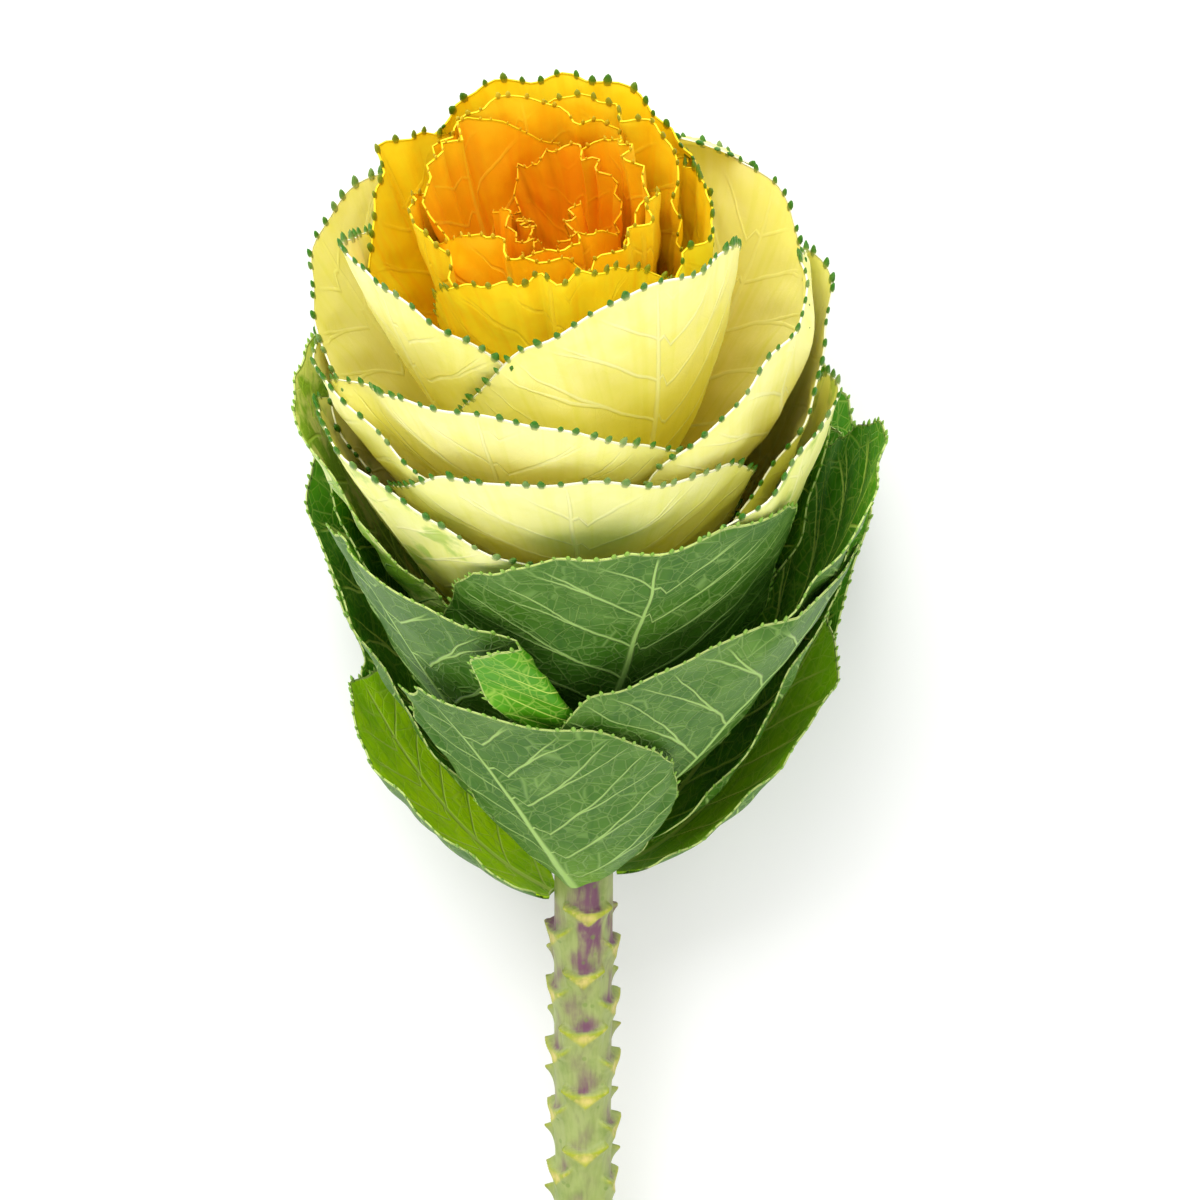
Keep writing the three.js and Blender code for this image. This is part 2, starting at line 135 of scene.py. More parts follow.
def smoothstep(lo, hi, x):
    """0 below lo, 1 above hi, and the cubic 3q^2 - 2q^3 between."""
    q = np.clip((x - lo) / (hi - lo), 0, 1)
    return q * q * (3 - 2 * q)


def place(theta, r, y):
    """From the straight plant (angle, radius, height on the axis) to the lying one, in metres:
    lean sideways by the square of the height, curve the neck up on a circle, raise the head end."""
    per_mm = math.radians(NECK_BEND) / (NECK_END - NECK_START)
    bend = np.clip((y - NECK_START) * per_mm, 0, math.radians(NECK_BEND))
    beyond = np.maximum(y - NECK_END, 0)
    along = np.where(y < NECK_START, y, NECK_START + np.sin(bend) / per_mm + beyond * np.cos(bend))
    up = np.where(y < NECK_START, 0, (1 - np.cos(bend)) / per_mm + beyond * np.sin(bend))
    n = r * np.cos(theta)
    x = r * np.sin(theta) - SIDE_LEAN * np.clip((y - LEAN_START) / LEAN_SPAN, 0, LEAN_MOST) ** 2
    v, w = along - n * np.sin(bend), up + n * np.cos(bend)
    c, s = math.cos(math.radians(PITCH)), math.sin(math.radians(PITCH))
    return (np.stack([x, v * c - w * s, v * s + w * c], -1) + ORIGIN) * MM


# ---- Leaves laid one over another ----
class Laid:
    """The outermost radius of what has been laid so far, at each height and angle. The rows start
    at the height low, in mm, and are one step apart; the columns are one turn apart, in degrees."""
    low = -40.0
    step = 1.0
    turn = 1.5
    rows = 270

    def __init__(self):
        heights = self.low + self.step * np.arange(self.rows)
        start = np.where(heights > STEM_TOP, 0, ramp(STEM_GIRTH, heights))
        self.r = np.repeat(start[:, None], int(360 / self.turn), 1)

    def clear(self, theta, y):
        """The radius that clears everything laid: the grid widened by its largest neighbour,
        averaged, and read between its cells."""
        grid = self.r
        for share in (np.max, np.mean):
            for axis in (0, 1):
                grid = share([np.roll(grid, n, axis) for n in (-2, -1, 0, 1, 2)], 0)
        row = np.clip((y - self.low) / self.step - 0.5, 0, grid.shape[0] - 1.001)
        col = (np.degrees(theta) / self.turn - 0.5) % grid.shape[1]
        i, j = row.astype(int), col.astype(int)
        a, b = row - i, col - j
        k = (j + 1) % grid.shape[1]
        return ((1 - a) * ((1 - b) * grid[i, j] + b * grid[i, k])
                + a * ((1 - b) * grid[i + 1, j] + b * grid[i + 1, k]))

    def add(self, surface):
        """Raises the grid to a surface given as (x, y, n) points, read at three times its density."""
        for axis in (0, 1):
            n = surface.shape[axis]
            at = np.linspace(0, n - 1, 3 * n)
            lo = np.minimum(at.astype(int), n - 2)
            part = (at - lo).reshape((-1, 1, 1) if axis == 0 else (1, -1, 1))
            surface = (np.take(surface, lo, axis) * (1 - part)
                       + np.take(surface, lo + 1, axis) * part)
        x, y, n = surface[..., 0], surface[..., 1], surface[..., 2]
        row = np.clip(((y - self.low) / self.step).astype(int), 0, self.r.shape[0] - 1)
        col = (np.degrees(np.arctan2(x, n)) // self.turn).astype(int) % self.r.shape[1]
        np.maximum.at(self.r, (row, col), np.hypot(x, n))


def spread_out(push):
    """A push shared with its neighbours along the grid, so that a blade stays even."""
    out = push
    for _ in range(10):
        pad = np.pad(out, 1, mode="edge")
        near = (pad[:-2, 1:-1] + pad[2:, 1:-1] + pad[1:-1, :-2] + pad[1:-1, 2:]) / 4
        out = np.maximum(push, near * 0.96)
    return out


def leaf_sizes(k):
    """The sizes of leaf k: the ramps, then what is particular to it."""
    sizes = dict(k=k, az=FIRST_AZIMUTH + TURN * k, base=ramp(BASE_HEIGHT, k), R=ramp(RIM_RADIUS, k),
                 Y=ramp(RIM_HEIGHT, k), W=ramp(HALF_WIDTH, k), lean=0.0, flare=ramp(RIM_FLARE, k),
                 start=ramp(START_SLOPE, k), wedge=ramp(WEDGE, k), left=1.0, right=1.0)
    sizes.update(PARTICULAR.get(k, {}))
    return sizes


def midrib(leaf):
    """The midrib's cubic curve in (radius, height), and the distance run along it."""
    r0 = ramp(STEM_GIRTH, leaf["base"]) + ROOT_GAP
    length = math.hypot(leaf["R"] - r0, leaf["Y"] - leaf["base"])
    start, flare = math.radians(leaf["start"]), math.radians(leaf["flare"])
    first, last = START_REACH * length, FLARE_REACH * length
    p = np.array([
        [r0, leaf["base"]],
        [r0 + first * math.cos(start), leaf["base"] + first * math.sin(start)],
        [leaf["R"] - last * math.sin(flare), leaf["Y"] - last * math.cos(flare)],
        [leaf["R"], leaf["Y"]]])
    u = np.linspace(0, 1, 121)[:, None]
    line = (1 - u) ** 3 * p[0] + 3 * (1 - u) ** 2 * u * p[1] + 3 * (1 - u) * u * u * p[2] + u ** 3 * p[3]
    run = np.concatenate([[0], np.cumsum(np.hypot(*np.diff(line, axis=0).T))])
    return run, line[:, 0], line[:, 1]


def outward_normals(points):
    """Unit normals of a grid of points, the cross product of its two directions, facing out."""
    normal = np.cross(np.gradient(points, axis=0), np.gradient(points, axis=1))
    normal /= np.maximum(np.linalg.norm(normal, axis=-1, keepdims=True), 1e-12)
    out = points[..., 0] * normal[..., 0] + points[..., 2] * normal[..., 2]
    return normal * (1 if out.sum() > 0 else -1)


def roll_over(k, across, along):
    """The part of the blade beyond a line is carried round a half circle and laid back over the
    rest: its place along the line's normal becomes radius sin(angle), then runs back, and it is
    lifted by radius (1 - cos(angle)) and a little more the further back it lies."""
    direction, start, radius = ROLLED[k]
    nx, ny = math.cos(math.radians(direction)), math.sin(math.radians(direction))
    beyond = np.maximum(across * nx + along * ny - start, 0)
    angle = np.minimum(beyond / radius, math.pi)
    back = np.maximum(beyond - math.pi * radius, 0)
    move = radius * np.sin(angle) - back - beyond
    return across + nx * move, along + ny * move, radius * (1 - np.cos(angle)) + ROLL_RISE * back


def blade(leaf, columns, rows, sizes, laid):
    """One leaf, as an inner and an outer face.
    The flat outline is x = W sin(a)(1 + wedge cos a), along = L(0.55 + 0.45 cos a), a over +-152
    degrees, made uneven by small sines and, on the green leaves, notched by folded ones; straight
    lines join it to a short base line. A rolled margin is laid back next. The blade is then rolled
    onto the midrib's curve, so that x becomes an angle of 88 tanh(x / r / 88) degrees. The rim is
    ruffled by sines along it, the golden leaves have finer ruffles and pleats that fade toward the
    base, the fields between the side veins are puckered by a cosine, and the whole is pressed
    outward until it clears the leaves inside it. The outer face is one thickness away along the
    normals, plus a ridge of bell-shaped section along the midrib."""
    k = leaf["k"]
    run, mid_r, mid_y = midrib(leaf)
    length = run[-1]
    even = np.linspace(-1, 1, columns + 1)
    t = (np.sign(even) * np.abs(even) ** 1.15)[:, None]
    s = (1 - (1 - np.linspace(0, 1, rows + 1)) ** 1.3)[None, :]
    a = t * math.radians(RIM_SPAN)
    lobes = 0.975 + 0.016 * np.sin(4.3 * a + 1.7 * k) + 0.009 * np.sin(9.1 * a + 2.9 * k)
    notched = smoothstep(17, 20, k) * 0.016
    lobes = lobes + notched * (0.5 - np.abs(np.sin(10.5 * a + 1.3 * np.sin(3 * a + k))))
    share = np.where(t < 0, leaf["left"], leaf["right"])
    half = leaf["W"] * share
    rim_x = half * np.sin(a) * (1 + leaf["wedge"] * np.cos(a)) * lobes
    reach = np.where(np.cos(a) > 0, OUTLINE_TIP, OUTLINE_BASE)
    rim_up = length * (OUTLINE_MIDDLE + reach * np.cos(a)) * lobes
    across = BASE_WIDTH * min(1, leaf["W"] / 40) * share * t * (1 - s) + rim_x * s
    along = rim_up * s
    x, up, lift = roll_over(k, across, along) if k in ROLLED else (across, along, 0)
    r, y = np.interp(up, run, mid_r), np.interp(up, run, mid_y)
    wrapped = WRAP * np.tanh(np.degrees(x / np.maximum(r, WRAP_RADIUS)) / WRAP)
    theta = np.radians(leaf["az"] + wrapped + leaf["lean"] * np.clip(up / length, 0, None) ** 1.3)

    spacing = 0.115 * length + 2
    phase = (along - 1.02 * np.abs(across) + 0.0055 * across ** 2) / spacing + 0.13 * k
    phase = phase + np.where(across > 0, 0.5, 0) * smoothstep(1, 3, np.abs(across))
    edge = (1 - s) * np.hypot(rim_x, rim_up)
    golden = smoothstep(5, 2, k)
    ruffle = sizes.ruffle * (1 + 0.6 * golden) * s ** 4 * (
        np.sin(9 * a + 1.3 * k) + 0.5 * np.sin(17 * a + 2.1 * k)
        + 0.8 * golden * np.sin(25 * a + 2 * np.sin(4 * a + k)))
    pleats = 0.85 * golden * smoothstep(0.2, 0.9, s) * np.sin(21 * a + 1.5 * np.sin(5 * a + 2 * k))
    pucker = sizes.pucker * np.cos(2 * np.pi * phase) * smoothstep(3, 14, np.abs(across)) * (
        smoothstep(0, 14, edge))
    r = r + ruffle + pucker + pleats
    r = r + spread_out(np.maximum(laid.clear(theta, y) + sizes.gap - r, 0)) + lift

    inner = np.stack([r * np.sin(theta), y, r * np.cos(theta)], -1)
    width = 2.6 - 1.9 * np.clip(along / length, 0, 1)
    ridge = 1.5 * np.exp(-(across / width) ** 2) * (1 - np.clip(along / length, 0, 1)) ** 0.8
    thick = sizes.thickness * (0.6 + 0.4 * smoothstep(0, 12, edge)) + ridge
    outer = inner + outward_normals(inner) * thick[..., None]
    laid.add(inner)
    laid.add(outer)

    def lying(p):
        return place(np.arctan2(p[..., 0], p[..., 2]), np.hypot(p[..., 0], p[..., 2]), p[..., 1])

    return dict(k=k, inner=lying(inner), outer=lying(outer), t=t + 0 * s, s=s + 0 * t, across=across,
                along=along / length, phase=phase, edge=edge)


# ---- Colours along a leaf ----
def blend_colours(stops, q):
    """Colours interpolated through (position, colour) stops, over an array of positions."""
    xs, cs = [p for p, _ in stops], np.array([c for _, c in stops])
    return np.stack([np.interp(q, xs, cs[:, n]) for n in range(3)], -1)


def leaf_tints(b, colours, ring):
    """Tints of the two faces, as colour stops along the blade from base to rim that change with
    the leaf's place in the head. Leaf 19 is coloured as the lowest pale leaf; the insides of
    leaves 29 and 30 are partly a fresher green than those of the other green leaves and partly
    painted light, made brighter against the shade they lie in."""
    k, q = b["k"], np.clip(b["s"] ** 0.9, 0, 1)
    c = {key: np.array(getattr(colours, key)) for key in colours.__annotations__}

    def between(one, two, part):
        return c[one] * (1 - part) + c[two] * part

    if ring in ("heart", "golden"):
        age = float(smoothstep(-12, 3, k))
        mid, rim = between("heart", "golden", age), between("heart_rim", "golden_rim", age)
        inner = blend_colours([(0, c["heart_depth"]), (0.45, c["heart"]), (0.75, mid), (1, rim)], q)
        return inner, blend_colours([(0, c["heart"]), (0.4, mid), (0.8, rim)], q)
    if ring == "cream" or k == 19:
        age = float(smoothstep(8, 19, k))
        low, rim = between("cream_low", "cream_shade", age), between("cream", "cream_pale", age)
        mid = between("cream_base", "cream_shade", 0.6 * age)
        inner = blend_colours([(0, c["cream_low"]), (0.35, c["cream_base"]), (0.8, c["cream"])], q)
        return inner, blend_colours([(0, low), (0.5, mid), (0.95, rim)], q)
    # Insides of leaves 29 and 30: partly a fresher green, partly painted light raised against the shade
    # they lie in.
    deep = c["lime"] if k == 30 else between("green_inner", "green_fresh", 0.8 if k == 29 else 0.04)
    inner = blend_colours([(0, c["green_fresh"]), (0.3, deep), (1, deep)], q)
    outer = blend_colours([(0, c["green_base"]), (0.35, c["green_outer"]), (1, c["green_outer"])], q)
    return inner, outer


# ---- Meshes ----
def face_grid(n0, n1, first, flip=False):
    """Quads of an n0 by n1 grid of vertices numbered row by row from first."""
    i = first + np.arange(n0 * n1).reshape(n0, n1)
    quads = np.stack([i[:-1, :-1], i[1:, :-1], i[1:, 1:], i[:-1, 1:]], -1).reshape(-1, 4)
    return quads[:, ::-1] if flip else quads


def signed_volume(points, quads):
    """Volume by the divergence theorem, negative for an inside-out surface."""
    a, b, c, d = (points[quads[:, n]] for n in range(4))
    return float(np.einsum("ij,ij->", a, np.cross(b, c)) + np.einsum("ij,ij->", a, np.cross(c, d))) / 6


def make_mesh(name, points, faces, attributes, material):
    """A smooth mesh object at the origin, with per-vertex attributes given as {name: array}."""
    mesh = bpy.data.meshes.new(name)
    mesh.from_pydata(points.tolist(), [], faces)
    mesh.polygons.foreach_set("use_smooth", np.ones(len(mesh.polygons), bool))
    for key, values in attributes.items():
        if values.shape[1] == 4:
            mesh.attributes.new(key, "FLOAT_COLOR", "POINT").data.foreach_set(
                "color", values.astype(np.float32).ravel())
        else:
            mesh.attributes.new(key, "FLOAT_VECTOR", "POINT").data.foreach_set(
                "vector", values.astype(np.float32).ravel())
    mesh.materials.append(material)
    mesh.update()
    obj = bpy.data.objects.new(name, mesh)
    bpy.context.scene.collection.objects.link(obj)
    return obj


# A tooth: the place and half-width of its three rings and the places of its two ends, against its
# size, then how thick it is against its width, and how far its colour has turned at each ring.
TOOTH_RINGS = ((-0.4, 0.42), (0.25, 0.50), (0.75, 0.30))
TOOTH_ROOT, TOOTH_TIP, TOOTH_FLATNESS, TOOTH_SIDES = -0.55, 1.05, 0.6, 6
TOOTH_RIPE = (0.35, 0.95, 1.0)
TEETH_SPAN = 0.80            # teeth stand on this share of the rim, either side of the tip
TOOTH_VEIN = (90.0, 0.5, 0.5)   # shading coordinates far from any vein
TOOTH_RIM = (0.9, 1.0, 0.0)     # and inside the pale line of the rim, on the outer side


def rim_teeth(b, size, spacing, rng):
    """Teeth along the rim: each is a tapered drop of three rings closed by a pole at each end,
    flattened across the blade. Their roots are spread evenly along the rim, a little out of step,
    and their sizes vary by a quarter."""
    rim = (b["inner"][:, -1] + b["outer"][:, -1]) / 2
    back = (b["inner"][:, -4] + b["outer"][:, -4]) / 2
    out = rim - back
    run = np.concatenate([[0], np.cumsum(np.linalg.norm(np.diff(rim, axis=0), axis=1))])
    first, last = np.interp([-TEETH_SPAN, TEETH_SPAN], b["t"][:, 0], run)
    count = max(int((last - first) / (spacing * MM)), 4)
    at = np.linspace(first, last, count) + rng.uniform(-0.25, 0.25, count) * spacing * MM

    def along_rim(values):
        return np.stack([np.interp(at, run, values[:, n]) for n in range(3)], -1)

    def unit(v):
        return v / np.maximum(np.linalg.norm(v, axis=-1, keepdims=True), 1e-12)

    root, tangent = along_rim(rim), unit(along_rim(np.gradient(rim, axis=0)))
    ahead = unit(along_rim(unit(out)))
    ahead = unit(ahead - tangent * np.sum(ahead * tangent, -1, keepdims=True) * 0.6)
    flat = unit(np.cross(ahead, tangent))
    scale = size * MM * rng.uniform(0.75, 1.25, count)[:, None]
    n = TOOTH_SIDES
    spots = [root + ahead * scale * TOOTH_ROOT]
    for place_on, half_width in TOOTH_RINGS:
        for angle in 2 * np.pi * np.arange(n) / n:
            sideways = tangent * math.cos(angle) + flat * TOOTH_FLATNESS * math.sin(angle)
            spots.append(root + scale * (ahead * place_on + sideways * half_width))
    spots.append(root + ahead * scale * TOOTH_TIP)
    points = np.stack(spots, 1)
    last_ring = 1 + 2 * n
    faces = []
    for i in range(n):
        j = (i + 1) % n
        faces.append((0, 1 + j, 1 + i))
        for ring in (1, 1 + n):
            faces.append((ring + i, ring + j, ring + n + j, ring + n + i))
        faces.append((last_ring + i, last_ring + j, last_ring + n))
    ripe = np.array([0.1, *np.repeat(TOOTH_RIPE, n), 1.0])
    return points, faces, ripe


def add_leaf(b, ring, scene, material):
    """One leaf piece: two faces of the blade, the strip that joins them all round, and its teeth."""
    k, sizes, colours = b["k"], scene.kale_sizes, scene.kale_colours
    n0, n1 = b["s"].shape
    total = n0 * n1
    points = np.concatenate([b["inner"].reshape(-1, 3), b["outer"].reshape(-1, 3)])
    i = np.arange(total).reshape(n0, n1)
    loop = np.concatenate([i[:, 0], i[-1, 1:], i[-2::-1, -1], i[0, -2:0:-1]])
    nxt = np.roll(loop, -1)
    quads = np.concatenate([face_grid(n0, n1, 0), face_grid(n0, n1, total, True),
                            np.stack([loop, loop + total, nxt + total, nxt], -1)[:, ::-1]])
    if signed_volume(points, quads) < 0:
        quads = quads[:, ::-1]
    inner_tint, outer_tint = leaf_tints(b, colours, ring)
    tint = np.concatenate([inner_tint.reshape(-1, 3), outer_tint.reshape(-1, 3)])
    veins = np.stack([b["across"], b["along"], b["phase"]], -1).reshape(-1, 3)
    side = np.repeat([0.0, 1.0], total)
    mottle = np.full(2 * total, MOTTLED.get(k, 0.0))
    rim = np.stack([np.tile(b["edge"].ravel(), 2), side, mottle], -1)

    rng = np.random.default_rng(100 + k)
    age = float(smoothstep(-9, 4, k))
    size = sizes.tooth * (0.62 if ring == "green" else 0.38 + 0.62 * age)
    gap = sizes.tooth_spacing * (0.75 if ring == "green" else 0.7 + 0.3 * age)
    teeth, tooth_faces, ripe = rim_teeth(b, size, gap, rng)
    count, per = teeth.shape[:2]
    start = len(points)
    faces = quads.tolist()
    as_quads = np.array([f if len(f) == 4 else f + (f[-1],) for f in tooth_faces])
    if signed_volume(teeth[0], as_quads) <= 0:
        tooth_faces = [f[::-1] for f in tooth_faces]
    for n in range(count):
        base = start + n * per
        faces += [tuple(base + v for v in f) for f in tooth_faces]
    root_colour = outer_tint[n0 // 2, -1]
    tip_colour = np.array(colours.green_tooth if ring == "green" else colours.tooth)
    tip_colour = tip_colour * age + np.array(colours.young_tooth) * (1 - age)
    tooth_tint = root_colour * (1 - ripe[:, None]) + tip_colour * ripe[:, None]
    points = np.concatenate([points, teeth.reshape(-1, 3)])
    tint = np.concatenate([tint, np.tile(tooth_tint, (count, 1))])
    tint = np.concatenate([tint, np.ones((len(tint), 1))], 1)
    veins = np.concatenate([veins, veins, np.tile(TOOTH_VEIN, (count * per, 1))])
    rim = np.concatenate([rim, np.tile(TOOTH_RIM, (count * per, 1))])
    node = f"{ring}_leaf_{k - FIRST + 1:02d}"
    obj = make_mesh(node + "_blade", points, faces, {"tint": tint, "vein": veins, "rim": rim}, material)
    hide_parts(node)
    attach(obj, "root")
    return obj


_blades = {}


def laid_blades(sizes):
    """Every leaf in turn from the heart outward, each laid over those inside it. Worked out once."""
    if not _blades:
        laid = Laid()
        for k in range(FIRST, LAST + 1):
            fine = (64, 36) if k < -4 else (84, 48) if k < 4 else (90, 52)
            _blades[k] = blade(leaf_sizes(k), *fine, sizes, laid)
    return _blades


# ---- Stem ----
def stem_surface(around, rings):
    """The stem's grid: radius by height, plus each scar's ledge. A scar is a shield 10 mm wide:
    its top edge, a parabola, dips in the middle, and its foot is a V. The ledge is full between the
    two edges, falls away over 2 mm below the V and over half a millimetre above the top edge, and
    rises toward the two horns; a bell-shaped hollow in its middle is the corky heart. A purple
    stain spreads above each scar, more toward the head, and flushes the stem just under it."""
    theta = np.linspace(0, 2 * np.pi, around, endpoint=False)[None, :]
    y = np.concatenate([np.linspace(-STEM_LENGTH, -2, rings), np.linspace(2, STEM_TOP, 24)])[:, None]
    r = ramp(STEM_GIRTH, y) - SKIN_DEPTH + 0 * theta
    r = r + 0.10 * np.sin(5 * theta + 0.05 * y) + 0.08 * np.sin(9 * theta - 0.11 * y)
    ledge, shield, heart, purple = (np.zeros_like(r) for _ in range(4))
    rng = np.random.default_rng(7)
    for n in range(math.ceil((STEM_LENGTH - 9) / SCAR_RISE)):
        foot = -5 - n * SCAR_RISE + rng.uniform(-0.7, 0.7)
        facing = math.radians(FIRST_AZIMUTH + n * SCAR_TURN + rng.uniform(-7, 7))
        width = 4.9 * rng.uniform(0.9, 1.1)
        off = np.arctan2(np.sin(theta - facing), np.cos(theta - facing)) * 7.0 / width
        a = np.abs(off)
        h = y - foot
        tilt = off * rng.uniform(-0.5, 0.5)
        top, low = 0.2 + 1.9 * a ** 2 + tilt, -2.9 * (1 - a) + 1.5 * a + tilt
        ends = np.exp(-(np.maximum(a - 0.92, 0) / 0.10) ** 2)
        inside = smoothstep(-0.5, 0.3, h - low) * smoothstep(0.5, -0.3, h - top) * ends
        below = np.exp(-np.maximum(low - h, 0) / 2.0)
        above = np.exp(-(np.maximum(h - top, 0) / 0.55) ** 2)
        stand = (1.25 + 1.6 * a ** 2) * below * above * ends * rng.uniform(0.85, 1.2)
        middle = np.exp(-(off / 0.42) ** 2 - ((h + 1.0) / 1.1) ** 2)
        ledge = np.maximum(ledge, stand - 0.45 * middle)
        shield = np.maximum(shield, inside)
        heart = np.maximum(heart, middle * inside)
        fade = ramp(((-195, 0.2), (-110, 0.4), (-50, 0.75), (0, 1.0)), foot)
        reach = 4.0 + 8.0 * fade
        sideways = off + 0.25 * np.sin(0.6 * h + n) + rng.uniform(-0.2, 0.2)
        stain = np.exp(-(sideways / (0.40 + 0.42 * fade)) ** 2) * smoothstep(-0.2, 0.8, h - top)
        stain = stain * np.exp(-np.maximum(h - top, 0) / reach)
        purple = np.maximum(purple, stain * fade * rng.uniform(0.75, 1.0))
    bare = smoothstep(6, -2, y)
    flush = smoothstep(-30, -6, y) * smoothstep(-0.3, 0.8, np.sin(3 * theta + 1.1 + 0.03 * y))
    purple = np.maximum(purple, 0.75 * flush * (1 - shield))
    return theta + 0 * y, r + ledge * bare, y + 0 * theta, shield * bare, heart * bare, purple


def add_stem(scene, material):
    """The stem piece: the scarred surface, with a slightly dished cut end and a closed top."""
    colours = scene.kale_colours
    theta, r, y, shield, heart, purple = stem_surface(96, 430)
    cut = [(0.93, 0.0), (0.72, 0.25), (0.35, 0.5), (0.03, 0.55)]   # share of the radius, and depth
    for part, depth in cut:
        theta = np.concatenate([theta[:1], theta])
        r = np.concatenate([np.full_like(r[:1], CUT_RADIUS * part), r])
        y = np.concatenate([np.full_like(y[:1], depth - STEM_LENGTH), y])
    pad = ((len(cut), 0), (0, 0))
    shield, heart, purple = (np.pad(v, pad, mode="constant") for v in (shield, heart, purple))
    points = place(theta, r, y)
    rings, around = theta.shape
    i = np.arange(rings * around).reshape(rings, around)
    j = np.roll(i, -1, 1)
    quads = np.stack([i[:-1], j[:-1], j[1:], i[1:]], -1).reshape(-1, 4)
    points = points.reshape(-1, 3)
    if signed_volume(points, quads) < 0:
        quads = quads[:, ::-1]
    ends = [i[0][::-1].tolist(), i[-1].tolist()]
    green = blend_colours([(-195, colours.stem_low), (-60, colours.stem), (0, colours.stem)], y)
    tint = green * (1 - shield[..., None]) + np.array(colours.scar) * shield[..., None]
    tint = tint * (1 - heart[..., None]) + np.array(colours.scar_heart) * heart[..., None]
    face = np.zeros_like(y)
    face[:len(cut)] = 1
    tint = tint * (1 - face[..., None]) + np.array(colours.pith) * face[..., None]
    tint = np.concatenate([tint.reshape(-1, 3), np.ones((tint[..., 0].size, 1))], 1)
    marks = np.stack([purple, shield, face], -1).reshape(-1, 3)
    obj = make_mesh("stem_skin", points, quads.tolist() + ends, {"tint": tint, "marks": marks}, material)
    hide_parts("stem")
    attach(obj, "root")
    return obj


# ---- Materials ----
class Tree:
    """Short ways to add nodes to a material."""

    def __init__(self, name):
        self.material = bpy.data.materials.new(name)
        self.material.use_nodes = True
        self.nodes, self.links = self.material.node_tree.nodes, self.material.node_tree.links
        self.shader = self.nodes["Principled BSDF"]

    def node(self, kind, **settings):
        made = self.nodes.new("ShaderNode" + kind)
        for key, value in settings.items():
            setattr(made, key, value)
        return made

    def put(self, socket, value):
        if isinstance(value, bpy.types.NodeSocket):
            self.links.new(value, socket)
        elif value is not None:
            socket.default_value = value

    def math(self, operation, a, b=None, c=None):
        made = self.node("Math", operation=operation)
        for socket, value in zip(made.inputs, (a, b, c)):
            self.put(socket, value)
        return made.outputs[0]

    def between(self, value, lo, hi, to_lo=0.0, to_hi=1.0):
        made = self.node("MapRange", interpolation_type="SMOOTHSTEP")
        for socket, v in zip(made.inputs, (value, lo, hi, to_lo, to_hi)):
            self.put(socket, v)
        return made.outputs[0]

    def mix(self, factor, a, b, blend="MIX"):
        made = self.node("Mix", data_type="RGBA", blend_type=blend)
        self.put(made.inputs["Factor"], factor)
        self.put(made.inputs[6], a)
        self.put(made.inputs[7], b)
        return made.outputs[2]

    def attribute(self, name):
        return self.node("Attribute", attribute_name=name)

    def split(self, vector):
        made = self.node("SeparateXYZ")
        self.put(made.inputs[0], vector)
        return made.outputs

    def noise(self, scale, detail=3.0, vector=None):
        made = self.node("TexNoise")
        self.put(made.inputs["Vector"], vector or self.here)
        made.inputs["Scale"].default_value = scale
        made.inputs["Detail"].default_value = detail
        return made.outputs["Fac"]

    def cells(self, scale, lo, hi):
        """Thin lines along the borders of a cell pattern, 1 on the line and 0 away from it."""
        made = self.node("TexVoronoi", feature="DISTANCE_TO_EDGE")
        self.put(made.inputs["Vector"], self.here)
        made.inputs["Scale"].default_value = scale
        return self.between(made.outputs["Distance"], lo, hi, 1.0, 0.0)

    @property
    def here(self):
        return self.node("TexCoord").outputs["Object"]

    def bump(self, height, strength, distance):
        made = self.node("Bump")
        made.inputs["Strength"].default_value = strength
        made.inputs["Distance"].default_value = distance
        self.put(made.inputs["Height"], height)
        self.put(self.shader.inputs["Normal"], made.outputs[0])


def rgba(colour):
    """A colour with full alpha."""
    return (*colour, 1.0)


# How each ring's leaves are finished: the colours of the veins on the two sides and of the rim,
# what the darker patches of uneven colour and the streaks of painted pleat shade are multiplied by,
# then how strongly the veins, the net of small veins and the relief show, the roughness, and the light let
# through.
LOOKS = {
    "heart": dict(vein_inner=srgb(255, 196, 20), vein_outer=srgb(255, 206, 40), rim=srgb(255, 192, 14),
                  tone_and_pleat_shade=(0.97, 0.74, 0.4), veins=0.25, net=0.1, relief=0.35, roughness=0.42, glow=0.18),
    "golden": dict(vein_inner=srgb(255, 226, 50), vein_outer=srgb(255, 230, 70), rim=srgb(255, 222, 24),
                   tone_and_pleat_shade=(0.99, 0.80, 0.25), veins=0.32, net=0.1, relief=0.45, roughness=0.42, glow=0.18),
    "cream": dict(vein_inner=srgb(252, 248, 150), vein_outer=srgb(253, 249, 180), rim=srgb(253, 252, 214),
                  tone_and_pleat_shade=(0.94, 0.95, 0.66), veins=0.5, net=0.2, relief=0.5, roughness=0.42, glow=0.18),
    "green": dict(vein_inner=srgb(208, 236, 104), vein_outer=srgb(160, 196, 104), rim=srgb(190, 210, 120),
                  tone_and_pleat_shade=(0.62, 0.78, 0.5), veins=0.92, net=0.95, relief=1.0, roughness=0.46, glow=0.05),
}


